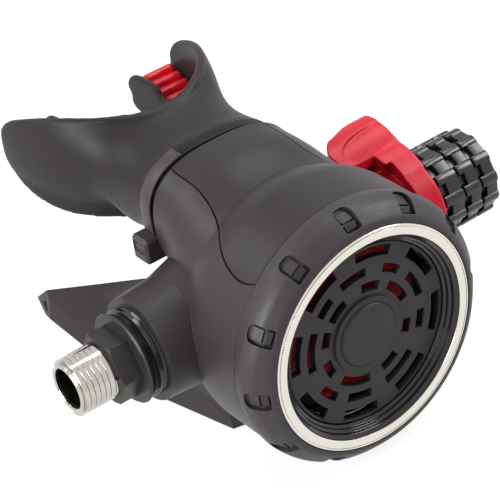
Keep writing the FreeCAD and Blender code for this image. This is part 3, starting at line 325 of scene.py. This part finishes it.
# pieces whose CAD solid has the right form but crisp edges: size of the new skin in mm, rounds of smoothing
softPieces = {
    "mouthpieceSkin": {"node": "mouthpiece", "voxel": 0.4, "rounds": 24, "finish": "blackSilicone",
                       "body": "case", "slot": "silicone"},
    "leftBiteGrip": {"node": "bite_pad_left", "voxel": 0.22, "rounds": 3, "finish": "redSilicone",
                     "body": "case", "slot": "pad_red"},
    "rightBiteGrip": {"node": "bite_pad_right", "voxel": 0.22, "rounds": 3, "finish": "redSilicone",
                      "body": "case", "slot": "pad_red"},
    "airFlowPaddle": {"node": "venturi_lever", "voxel": 0.2, "rounds": 3, "finish": "redAcetal",
                      "body": "airflow", "slot": "lever_red"},
    "strapCatch": {"node": "tie_head", "voxel": 0.14, "rounds": 3, "finish": "tieNylon", "body": "case",
                   "slot": "tie_nylon"},
}
softenFactor = 0.5  # share of the way that a point goes to its neighbours' middle in one round


def softened(piece, look):  # one skin over everything in the piece, with its edges rounded off
    skin = piece.modifiers.new("skin", "REMESH")
    skin.mode = "VOXEL"
    skin.voxel_size = look["voxel"] * mm
    skin.use_smooth_shade = True
    soften = piece.modifiers.new("soften", "SMOOTH")
    soften.factor = softenFactor
    soften.iterations = look["rounds"]
    return settled(piece)


for pieceName, pieceLook in softPieces.items():
    softPiece = softened(linked(pieceName, mergedCopy(pieceLook["node"])), pieceLook)
    dressed(softPiece, pieceLook["finish"], pieceLook["body"], pieceLook["node"])

# springs shorten as a joint moves: the joint, the way of the spring's axis, and by how much in mm
springs = {
    "purgeCoil": {"node": "purge_spring", "joint": "purge_press", "axis": (0.0, 1.0, 0.0), "shortens": 3.0},
    "valveCoil": {"node": "poppet_spring", "joint": "poppet_lift", "axis": (1.0, 0.0, 0.0), "shortens": 1.05},
}
foldSharp = 35  # degrees, for springs and membrane


def makeSpring(name, look):
    spring = linked(name, mergedCopy(look["node"]))
    dressed(spring, "springSteel", "case", look["node"], foldSharp)
    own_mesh(spring)


for pieceName, pieceLook in springs.items():
    makeSpring(pieceName, pieceLook)


def makeMembrane():
    membrane = linked("foldedMembrane", mergedCopy("diaphragm"))
    dressed(membrane, "membraneSilicone", None, "diaphragm", foldSharp)
    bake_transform(membrane)


makeMembrane()


def ringFaces(count, steps, closed=True):  # quads between rings of points, each ring closed in itself
    faces = []
    for step in range(steps):
        ahead = (step + 1) % steps if closed else step + 1
        for k in range(count):
            following = (k + 1) % count
            faces.append((step * count + k, step * count + following, ahead * count + following,
                          ahead * count + k))
    return faces


def turnedMesh(name, outline, around, about="X"):  # revolves a closed outline of (place, radius) in mm
    points = []
    for step in range(around):
        angle = 2 * math.pi * step / around
        c, s = math.cos(angle), math.sin(angle)
        for along, radius in outline:
            place = (along, radius * c, radius * s) if about == "X" else (radius * s, along, radius * c)
            points.append((place[0] * mm + inletToCross, place[1] * mm, place[2] * mm))
    return builtMesh(name, points, ringFaces(len(outline), around), merge=True)


def startTree(name, inputs):  # a geometry node group with named sizes
    tree = bpy.data.node_groups.new(name, "GeometryNodeTree")
    tree.interface.new_socket("Geometry", in_out="INPUT", socket_type="NodeSocketGeometry")
    tree.interface.new_socket("Geometry", in_out="OUTPUT", socket_type="NodeSocketGeometry")
    for label, kind in inputs.items():
        tree.interface.new_socket(label, in_out="INPUT", socket_type="NodeSocket" + kind)
    return tree, addNode(tree, "NodeGroupInput").outputs, addNode(tree, "NodeGroupOutput")


def finishTree(tree, geometry, output, finish):
    real = addNode(tree, "GeometryNodeRealizeInstances", {"Geometry": geometry})
    paint = addNode(tree, "GeometryNodeSetMaterial", {"Geometry": real.outputs["Geometry"]})
    paint.inputs["Material"].default_value = finishes[finish]
    tree.links.new(paint.outputs["Geometry"], output.inputs["Geometry"])


def runTree(piece, tree, values):
    modifier = piece.modifiers.new(tree.name, "NODES")
    modifier.node_group = tree
    sockets = {item.name: item.identifier for item in tree.interface.items_tree if item.in_out == "INPUT"}
    for label, value in values.items():
        modifier[sockets[label]] = value
    return settled(piece)


knobLook = {
    # rows of the grip: where a rib begins, where the flat beside it begins, and where both end, in mm
    "rows": ((46.6, 48.7, 52.8), (53.3, 55.0, 58.4), (58.9, 60.4, 64.0)),
    "ribReach": 11.75, "flatReach": 11.15, "groove": 9.9, "capRadius": 8.2, "capRise": 0.3, "socket": 9.45,
    "socketEnd": 50.8, "stepWidth": 0.12, "grooveStep": 0.1,
    # the ends of ribs and flats: how long their rounding is, how far it drops, and where it has points
    "edgeRound": 0.4, "edgeDrop": 0.28, "edgeStops": (0.0, 0.1, 0.25, 0.4),
    # round the axis: ribs, a rib's share of one pitch, how squarely it swells, and the flat's gap beside it
    "ribs": 12, "firstAngle": 98.0, "ribShare": 0.5, "swell": 0.4, "sideGap": 0.003, "ribSteps": 11,
    "flatSteps": 5, "sharp": 32,
}


def knobRadius(look, along, share):  # the grip's radius at a place on the axis and a share of one rib's pitch
    onRib = share < look["ribShare"]
    for ribStart, flatStart, end in look["rows"]:
        start = ribStart if onRib else flatStart
        if start <= along <= end:
            toEdge = min(along - start, end - along, look["edgeRound"]) / look["edgeRound"]
            drop = look["edgeDrop"] * (1 - math.sqrt(max(0.0, 1 - (1 - toEdge) ** 2)))
            if onRib:
                swell = math.sin(math.pi * share / look["ribShare"]) ** look["swell"]
                return look["flatReach"] + (look["ribReach"] - look["flatReach"]) * swell - drop
            middle = (1 + look["ribShare"]) / 2
            turn = (share - middle) * 2 * math.pi / look["ribs"]
            half = (1 - look["ribShare"]) * math.pi / look["ribs"]
            return look["flatReach"] * math.cos(half) / math.cos(turn) - drop
    return look["groove"]


def knobPatch(look):  # the grip's surface over one rib and one flat, open at both sides
    rib, gap = look["ribShare"], look["sideGap"]
    shares = [rib * k / look["ribSteps"] for k in range(look["ribSteps"])]
    shares += [rib + gap + (1 - gap - rib) * k / look["flatSteps"] for k in range(look["flatSteps"] + 1)]
    step = look["stepWidth"]
    stations = {look["rows"][0][0] - step}
    for ribStart, flatStart, end in look["rows"]:
        for start in (ribStart, flatStart):
            stations |= {start - step} | {start + stop for stop in look["edgeStops"]}
        stations |= {end + step} | {end - stop for stop in look["edgeStops"]}
    stations = sorted(stations)
    first, last = stations[0], stations[-1]
    points = []
    for share in shares:
        angle = 2 * math.pi / look["ribs"] * share
        onFlatOrRib = min(share, 0.9999)  # 1.0 would be the next rib
        ring = [(look["socketEnd"], 0.0), (look["socketEnd"], look["socket"]), (first, look["socket"])]
        ring += [(place, knobRadius(look, place, onFlatOrRib)) for place in stations]
        capEnd = last + look["capRise"]
        ring += [(capEnd, look["groove"] - look["grooveStep"]), (capEnd, look["capRadius"]),
                 (last, look["capRadius"] - look["capRise"]), (last, 0.0)]
        points += [(place * mm, radius * mm * math.cos(angle), radius * mm * math.sin(angle))
                   for place, radius in ring]
    count = len(points) // len(shares)
    faces = []
    for row in range(len(shares) - 1):
        for low in range(row * count, row * count + count - 1):
            faces.append((low, low + 1, low + count + 1, low + count))
    mesh = bpy.data.meshes.new("knobPatch")
    mesh.from_pydata(points, [], faces)
    return mesh


def knobTree():  # sets the patch round the valve axis, once for each rib, and joins the copies
    tree, given, output = startTree("knobRibs", {"Count": "Int", "First angle": "Float",
                                                 "Merge distance": "Float"})
    spots = addNode(tree, "GeometryNodePoints", {"Count": given["Count"]})
    index = addNode(tree, "GeometryNodeInputIndex")
    share = addNode(tree, "ShaderNodeMath", {0: index.outputs[0], 1: given["Count"]}, operation="DIVIDE")
    angle = addNode(tree, "ShaderNodeMath", {0: share.outputs[0], 2: given["First angle"]},
                    operation="MULTIPLY_ADD")
    angle.inputs[1].default_value = 2 * math.pi
    turn = addNode(tree, "ShaderNodeCombineXYZ", {"X": angle.outputs[0]})
    around = addNode(tree, "GeometryNodeInstanceOnPoints",
                     {"Points": spots.outputs[0], "Instance": given["Geometry"],
                      "Rotation": turn.outputs["Vector"]})
    real = addNode(tree, "GeometryNodeRealizeInstances", {"Geometry": around.outputs["Instances"]})
    merged = addNode(tree, "GeometryNodeMergeByDistance", {"Geometry": real.outputs["Geometry"],
                                                           "Distance": given["Merge distance"]})
    placed = addNode(tree, "GeometryNodeTransform", {"Geometry": merged.outputs["Geometry"]},
                     Translation=(inletToCross, 0, 0))
    finishTree(tree, placed.outputs["Geometry"], output, "blackAnodisedKnob")
    return tree


def makeKnob(look):
    knob = runTree(linked("ribbedKnob", knobPatch(look)), knobTree(),
                   {"Count": look["ribs"], "First angle": math.radians(look["firstAngle"]),
                    "Merge distance": 2 * samePoint * mm})
    cleaned(knob.data, faceOut=True)
    dressed(knob, "blackAnodisedKnob", "knob", "adjusting_knob", look["sharp"])


makeKnob(knobLook)

bezelLook = {
    # the windows in the bezel's shoulder, in mm: a window's outer end and heading as (radius, y)
    "start": (34.3, -31.9), "heading": (-4.7, -6.1), "count": 12, "firstAngle": 2.9,
    # the block in each window: its reach along the heading, half its width and its foot, and the slope that
    # its top is pressed down to, from the dark outer end up to the bezel's own surface
    "blockSpan": (0.9, 3.8), "blockHalf": 1.7, "blockLow": -0.8, "slopeFrom": -0.9, "slopeRise": 0.34,
}


def pressedPlace(look, place):  # where a point of the ring goes, or None if it isn't on top of a block
    long = math.hypot(*look["heading"])
    along = (look["heading"][0] / long, look["heading"][1] / long)
    pitch = 2 * math.pi / look["count"]
    x, y, z = place.x - inletToCross, place.y, place.z
    angle = math.atan2(z, x) - math.radians(look["firstAngle"])
    angle -= round(angle / pitch) * pitch
    radius = math.hypot(x, z) / mm
    flat, side = radius * math.cos(angle), radius * math.sin(angle)
    away = (flat - look["start"][0], y / mm - look["start"][1])
    reach = away[0] * along[0] + away[1] * along[1]
    up = away[1] * along[0] - away[0] * along[1]
    drop = up - (look["slopeFrom"] + look["slopeRise"] * reach)
    low, high = look["blockSpan"]
    onBlock = low < reach < high and abs(side) < look["blockHalf"] and up > look["blockLow"]
    if drop <= 0 or not onBlock:
        return None
    flat += along[1] * drop
    turned = math.atan2(z, x) - angle
    return (inletToCross + (flat * math.cos(turned) - side * math.sin(turned)) * mm, y - along[0] * drop * mm,
            (flat * math.sin(turned) + side * math.cos(turned)) * mm)


def makeBezel(look):  # the CAD ring with its smooth normals, and the blocks in its windows made to slope
    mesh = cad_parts["bezel_ring"].data.copy()
    kept = mesh.attributes.new("keptNormal", "FLOAT_VECTOR", "CORNER")
    for corner, normal in enumerate(mesh.corner_normals):
        kept.data[corner].vector = normal.vector
    cleaned(mesh, merge=True)
    pressed = set()
    for point in mesh.vertices:
        place = pressedPlace(look, point.co)
        if place:
            point.co = place
            pressed.add(point.index)
    mesh.update()
    normals = [item.vector.copy() for item in mesh.attributes["keptNormal"].data]
    for face in mesh.polygons:
        if pressed.issuperset(face.vertices):
            for corner in face.loop_indices:
                normals[corner] = face.normal.copy()
    mesh.attributes.remove(mesh.attributes["keptNormal"])
    dressed(linked("windowedBezel", mesh), "grainedNylonBezel", "case", "bezel_ring")
    mesh.normals_split_custom_set(normals)
    print("points pressed in the bezel's windows:", len(pressed))


makeBezel(bezelLook)

trimLook = {
    # polished ring, as (y, radius) in mm: a broad face, a fine groove and a thin outer bead
    "outline": ((-36.5, 26.1), (-38.05, 26.1), (-38.3, 26.2), (-38.42, 26.45), (-38.42, 28.1),
                (-38.36, 28.17), (-38.1, 28.2), (-38.1, 28.36), (-38.34, 28.4), (-38.4, 28.5),
                (-38.38, 28.66), (-38.2, 28.88), (-37.95, 29.0), (-36.5, 29.0)),
    "around": 240, "sharp": 40,
}
dressed(linked("polishedTrim", turnedMesh("polishedTrim", trimLook["outline"], trimLook["around"], "Y")),
        "turnedStainless", "case", "trim_ring", trimLook["sharp"])

threadLook = {
    # the hose inlet, a thin lining over its bore painted dark for the shade inside it, and the helical thread
    # of 9/16-18, in mm: (place on the axis, radius)
    "outline": ((-61.7, 5.45), (-61.45, 5.2), (-53.2, 5.19), (-51.7, 3.4), (-34.0, 3.4), (-34.0, 5.0),
                (-51.6, 5.0), (-51.6, 6.2), (-60.9, 6.27), (-61.35, 6.2), (-61.7, 5.9)),
    "bore": ((-60.9, 5.17), (-53.22, 5.17), (-51.72, 3.38), (-40.0, 3.38), (-40.0, 3.5), (-51.6, 3.5),
             (-53.1, 5.3), (-60.9, 5.3)),
    "pitch": 1.411, "root": 6.2, "crest": 7.14, "crestWidth": 0.42, "footWidth": 1.3, "sunk": 0.15,
    "from": -60.75, "to": -51.9, "turnSteps": 72, "around": 96, "sharp": 28,
}


def threadTree(look):  # a trapezoid swept along a helix, and joined to the turned inlet
    tree, given, output = startTree("helicalThread", {"Turns": "Float", "Radius": "Float", "Length": "Float",
                                                      "Crest": "Float", "Foot": "Float", "Height": "Float"})
    path = addNode(tree, "GeometryNodeCurveSpiral",
                   {"Rotations": given["Turns"], "Start Radius": given["Radius"],
                    "End Radius": given["Radius"], "Height": given["Length"]}, Resolution=look["turnSteps"])
    section = addNode(tree, "GeometryNodeCurvePrimitiveQuadrilateral",
                      {"Bottom Width": given["Foot"], "Top Width": given["Crest"], "Height": given["Height"]},
                      mode="TRAPEZOID", Offset=0.0)
    upright = addNode(tree, "GeometryNodeSetCurveNormal", {"Curve": path.outputs["Curve"]}, mode="Z_UP")
    side = addNode(tree, "GeometryNodeTransform", {"Geometry": section.outputs["Curve"]},
                   Rotation=(0, 0, -math.pi / 2))
    swept = addNode(tree, "GeometryNodeCurveToMesh",
                    {"Curve": upright.outputs["Curve"], "Profile Curve": side.outputs["Geometry"]},
                    Fill_Caps=True)
    laid = addNode(tree, "GeometryNodeTransform", {"Geometry": swept.outputs["Mesh"]},
                   Rotation=(0, math.pi / 2, 0), Translation=(look["from"] * mm + inletToCross, 0, 0))
    joined = addNode(tree, "GeometryNodeJoinGeometry")
    for part in (given["Geometry"], laid.outputs["Geometry"]):
        tree.links.new(part, joined.inputs["Geometry"])
    finishTree(tree, joined.outputs["Geometry"], output, "chromePlate")
    return tree


def makeThread(look):
    inlet = linked("threadedInlet", turnedMesh("threadedInlet", look["outline"], look["around"]))
    length = look["to"] - look["from"]
    height = look["crest"] - look["root"] + look["sunk"]
    runTree(inlet, threadTree(look),
            {"Turns": length / look["pitch"], "Radius": (look["crest"] - height / 2) * mm,
             "Length": length * mm, "Height": height * mm, "Crest": look["crestWidth"] * mm,
             "Foot": look["footWidth"] * mm})
    dressed(inlet, "chromePlate", "case", "inlet_fitting", look["sharp"])
    # a thin dark sleeve just inside the bore's wall: painted shade over the chrome
    bore = linked("inletBoreShade", turnedMesh("inletBoreShade", look["bore"], look["around"]))
    dressed(bore, "boreShadeBrass", "case", "inlet_fitting", look["sharp"])


makeThread(threadLook)

strapLook = {
    # the superellipse that the strap lies on, in mm: half width, half height, middle's height, power
    "oval": (20.0, 13.3, 18.3, 2.6),
    # the strap across: its near and far edge in y, and how far out the band and the tail lie
    "near": 18.6, "far": 22.7, "band": (0.05, 0.5), "tail": (0.5, 0.97), "round": 0.16, "roundMiddle": 0.3,
    "tailAngles": (111.0, 203.0), "stepsPerDegree": 0.8, "sharp": 40,
    "ridgePitch": 1.0, "ridgeSize": (0.5, 2.2, 0.1), "ridgeAngles": (-20.0, 108.0), "ridgeSteps": 120,
}


def ovalPoint(look, angle, out):  # a point of the oval, moved out from it across the cover axis, in mm
    a, b, middle, power = look["oval"]
    c, s = math.cos(angle), math.sin(angle)
    x = a * math.copysign(abs(c) ** (2 / power), c)
    z = b * math.copysign(abs(s) ** (2 / power), s)
    wayOut = Vector((math.copysign(abs(x / a) ** (power - 1), x) / a, 0,
                     math.copysign(abs(z / b) ** (power - 1), z) / b))
    return Vector((x, 0, middle + z)) + wayOut.normalized() * out


def sweptBand(look, name, angles, layer):  # a flat strap with rounded edges along part of the oval
    low, high = layer
    near, far, r = look["near"], look["far"], look["round"]
    nip = r * look["roundMiddle"]
    section = ((low, near), (high - r, near), (high - nip, near + nip), (high, near + r), (high, far - r),
               (high - nip, far - nip), (high - r, far), (low, far))
    start, end = (math.radians(angle) for angle in angles)
    closed = angles[1] - angles[0] >= 360
    steps = int((angles[1] - angles[0]) * look["stepsPerDegree"])
    points = []
    for step in range(steps if closed else steps + 1):
        angle = start + (end - start) * step / steps
        for out, y in section:
            place = ovalPoint(look, angle, out)
            points.append((place.x * mm + inletToCross, y * mm, place.z * mm))
    count = len(section)
    faces = ringFaces(count, steps, closed)
    if not closed:
        faces += [tuple(range(count)), tuple(range(steps * count, steps * count + count))]
    return linked(name, builtMesh(name, points, faces))


def ridgePath(look):  # the line on the band's outer face that the ridges stand on
    first, last = (math.radians(angle) for angle in look["ridgeAngles"])
    steps = look["ridgeSteps"]
    points = []
    for step in range(steps + 1):
        place = ovalPoint(look, first + (last - first) * step / steps, look["band"][1])
        points.append((place.x * mm + inletToCross, (look["near"] + look["far"]) / 2 * mm, place.z * mm))
    mesh = bpy.data.meshes.new("strapRidges")
    mesh.from_pydata(points, [(k, k + 1) for k in range(steps)], [])
    return mesh


def ridgeTree():  # a bar at every pitch of the line, turned to lie across it
    tree, given, output = startTree("strapRidges", {"Pitch": "Float", "Size": "Vector"})
    path = addNode(tree, "GeometryNodeMeshToCurve", {"Mesh": given["Geometry"]})
    spaced = addNode(tree, "GeometryNodeCurveToPoints", {"Curve": path.outputs["Curve"],
                                                         "Length": given["Pitch"]}, mode="LENGTH")
    bar = addNode(tree, "GeometryNodeMeshCube", {"Size": given["Size"]})
    turn = addNode(tree, "FunctionNodeAlignRotationToVector", {"Vector": spaced.outputs["Tangent"]}, axis="X",
                   pivot_axis="Y")
    ridges = addNode(tree, "GeometryNodeInstanceOnPoints",
                     {"Points": spaced.outputs["Points"], "Instance": bar.outputs["Mesh"],
                      "Rotation": turn.outputs["Rotation"]})
    # the ridges take the nylon painted dark for shade
    finishTree(tree, ridges.outputs["Instances"], output, "tieNylonPaintedShade")
    return tree


def makeStrap(look):
    band = sweptBand(look, "strapBand", (0.0, 360.0), look["band"])
    tail = sweptBand(look, "strapTail", look["tailAngles"], look["tail"])
    ridges = runTree(linked("strapRidges", ridgePath(look)), ridgeTree(),
                     {"Pitch": look["ridgePitch"] * mm, "Size": [size * mm for size in look["ridgeSize"]]})
    # the band and its ridges take the nylon painted dark for shade; the tail and catch take the lighter nylon
    for piece, finish in ((band, "tieNylonPaintedShade"), (tail, "tieNylon"), (ridges, "tieNylonPaintedShade")):
        dressed(piece, finish, "case", "tie_strap", look["sharp"])


makeStrap(strapLook)

# the photograph's view, worked out from the round cover, the knob and the thread, in degrees and mm
cameraView = {"azimuth": -32.82, "elevation": 33.44, "roll": -8.7, "place": (-184.34, -372.22, 303.17),
              "lens": 158.83, "sensor": 36.0, "nearest": 10.0}


def placeCamera(view):
    data = bpy.data.cameras.new("camera")
    data.lens = view["lens"]
    data.sensor_width = view["sensor"]
    data.clip_start = view["nearest"] * mm
    a, e, r = (math.radians(view[k]) for k in ("azimuth", "elevation", "roll"))
    back = Vector((math.sin(a) * math.cos(e), -math.cos(a) * math.cos(e), math.sin(e)))
    side = Vector((0, 0, 1)).cross(back).normalized()
    up = back.cross(side)
    right = side * math.cos(r) + up * math.sin(r)
    turn = Matrix((right, back.cross(right), back)).transposed().to_4x4()
    camera = linked("camera", data)
    camera.matrix_world = Matrix.Translation(Vector(view["place"]) * mm) @ turn
    bpy.context.scene.camera = camera


placeCamera(cameraView)

# floorDrop in mm below the part, floorSize in metres; the glow and the share of shading make a nearly white
# floor that still shows the shadow, and the fill is how strongly the sky lights the part
stage = {"floorDrop": 0.3, "floorSize": 6.0, "floorTone": "#f2f1ef", "floorGlow": 0.86, "floorShare": 0.2,
         "skyTone": "#f4f5f7", "skyFill": 0.3}


def whiteForLooking(tree):  # 1 for rays that see the backdrop directly, in a reflection or through glass
    path = addNode(tree, "ShaderNodeLightPath")
    either = addNode(tree, "ShaderNodeMath", {0: path.outputs["Is Camera Ray"],
                                              1: path.outputs["Is Glossy Ray"]}, operation="MAXIMUM")
    return addNode(tree, "ShaderNodeMath", {0: either.outputs[0], 1: path.outputs["Is Transmission Ray"]},
                   operation="MAXIMUM").outputs[0]


def makeFloor():
    half = stage["floorSize"] / 2
    z = cadBox[0][2] - stage["floorDrop"] * mm
    mesh = bpy.data.meshes.new("floor")
    corners = [(-half, -half, z), (half, -half, z), (half, half, z), (-half, half, z)]
    mesh.from_pydata(corners, [], [(0, 1, 2, 3)])
    floor = linked("floor", mesh)
    material = bpy.data.materials.new("floorPaper")
    material.use_nodes = True
    tree = material.node_tree
    tree.nodes.clear()
    paper = addNode(tree, "ShaderNodeBsdfDiffuse", Color=hexColor(stage["floorTone"]))
    pale = addNode(tree, "ShaderNodeBsdfDiffuse", Color=[stage["floorShare"]] * 3 + [1])
    glow = addNode(tree, "ShaderNodeEmission", Strength=stage["floorGlow"])
    seen = addNode(tree, "ShaderNodeAddShader", {0: pale.outputs[0], 1: glow.outputs[0]})
    mixed = addNode(tree, "ShaderNodeMixShader", {0: whiteForLooking(tree), 1: paper.outputs[0],
                                                  2: seen.outputs[0]})
    addNode(tree, "ShaderNodeOutputMaterial", {"Surface": mixed.outputs[0]})
    mesh.materials.append(material)


def makeSky():
    world = bpy.data.worlds.new("sky")
    bpy.context.scene.world = world
    world.use_nodes = True
    tree = world.node_tree
    tree.nodes.clear()
    fill = addNode(tree, "ShaderNodeBackground", Color=hexColor(stage["skyTone"]), Strength=stage["skyFill"])
    white = addNode(tree, "ShaderNodeBackground", Color=(1, 1, 1, 1), Strength=1.0)
    mixed = addNode(tree, "ShaderNodeMixShader", {0: whiteForLooking(tree), 1: fill.outputs[0],
                                                  2: white.outputs[0]})
    addNode(tree, "ShaderNodeOutputWorld", {"Surface": mixed.outputs[0]})


lamps = {
    # square lamps that face the crossing of the axes: place in mm from it, size in mm, watts
    "rightKey": ((430, -170, 380), 280, 2.6),
    "leftFill": ((-540, -70, 210), 300, 4.2),
    "topBack": ((240, 130, 470), 200, 0.8),
    "backLeft": ((-280, 310, 400), 240, 0.9),
}


def placeLamps():
    for name, (place, size, watts) in lamps.items():
        data = bpy.data.lights.new(name, "AREA")
        data.size = size * mm
        data.energy = watts
        lamp = linked(name, data)
        lamp.location = Vector(place) * mm + Vector((inletToCross, 0, 0))
        lamp.rotation_euler = (Vector(place) * mm).to_track_quat("Z", "Y").to_euler()


makeFloor()
makeSky()
placeLamps()
bpy.context.scene.view_settings.view_transform = "Standard"
print("stage set")
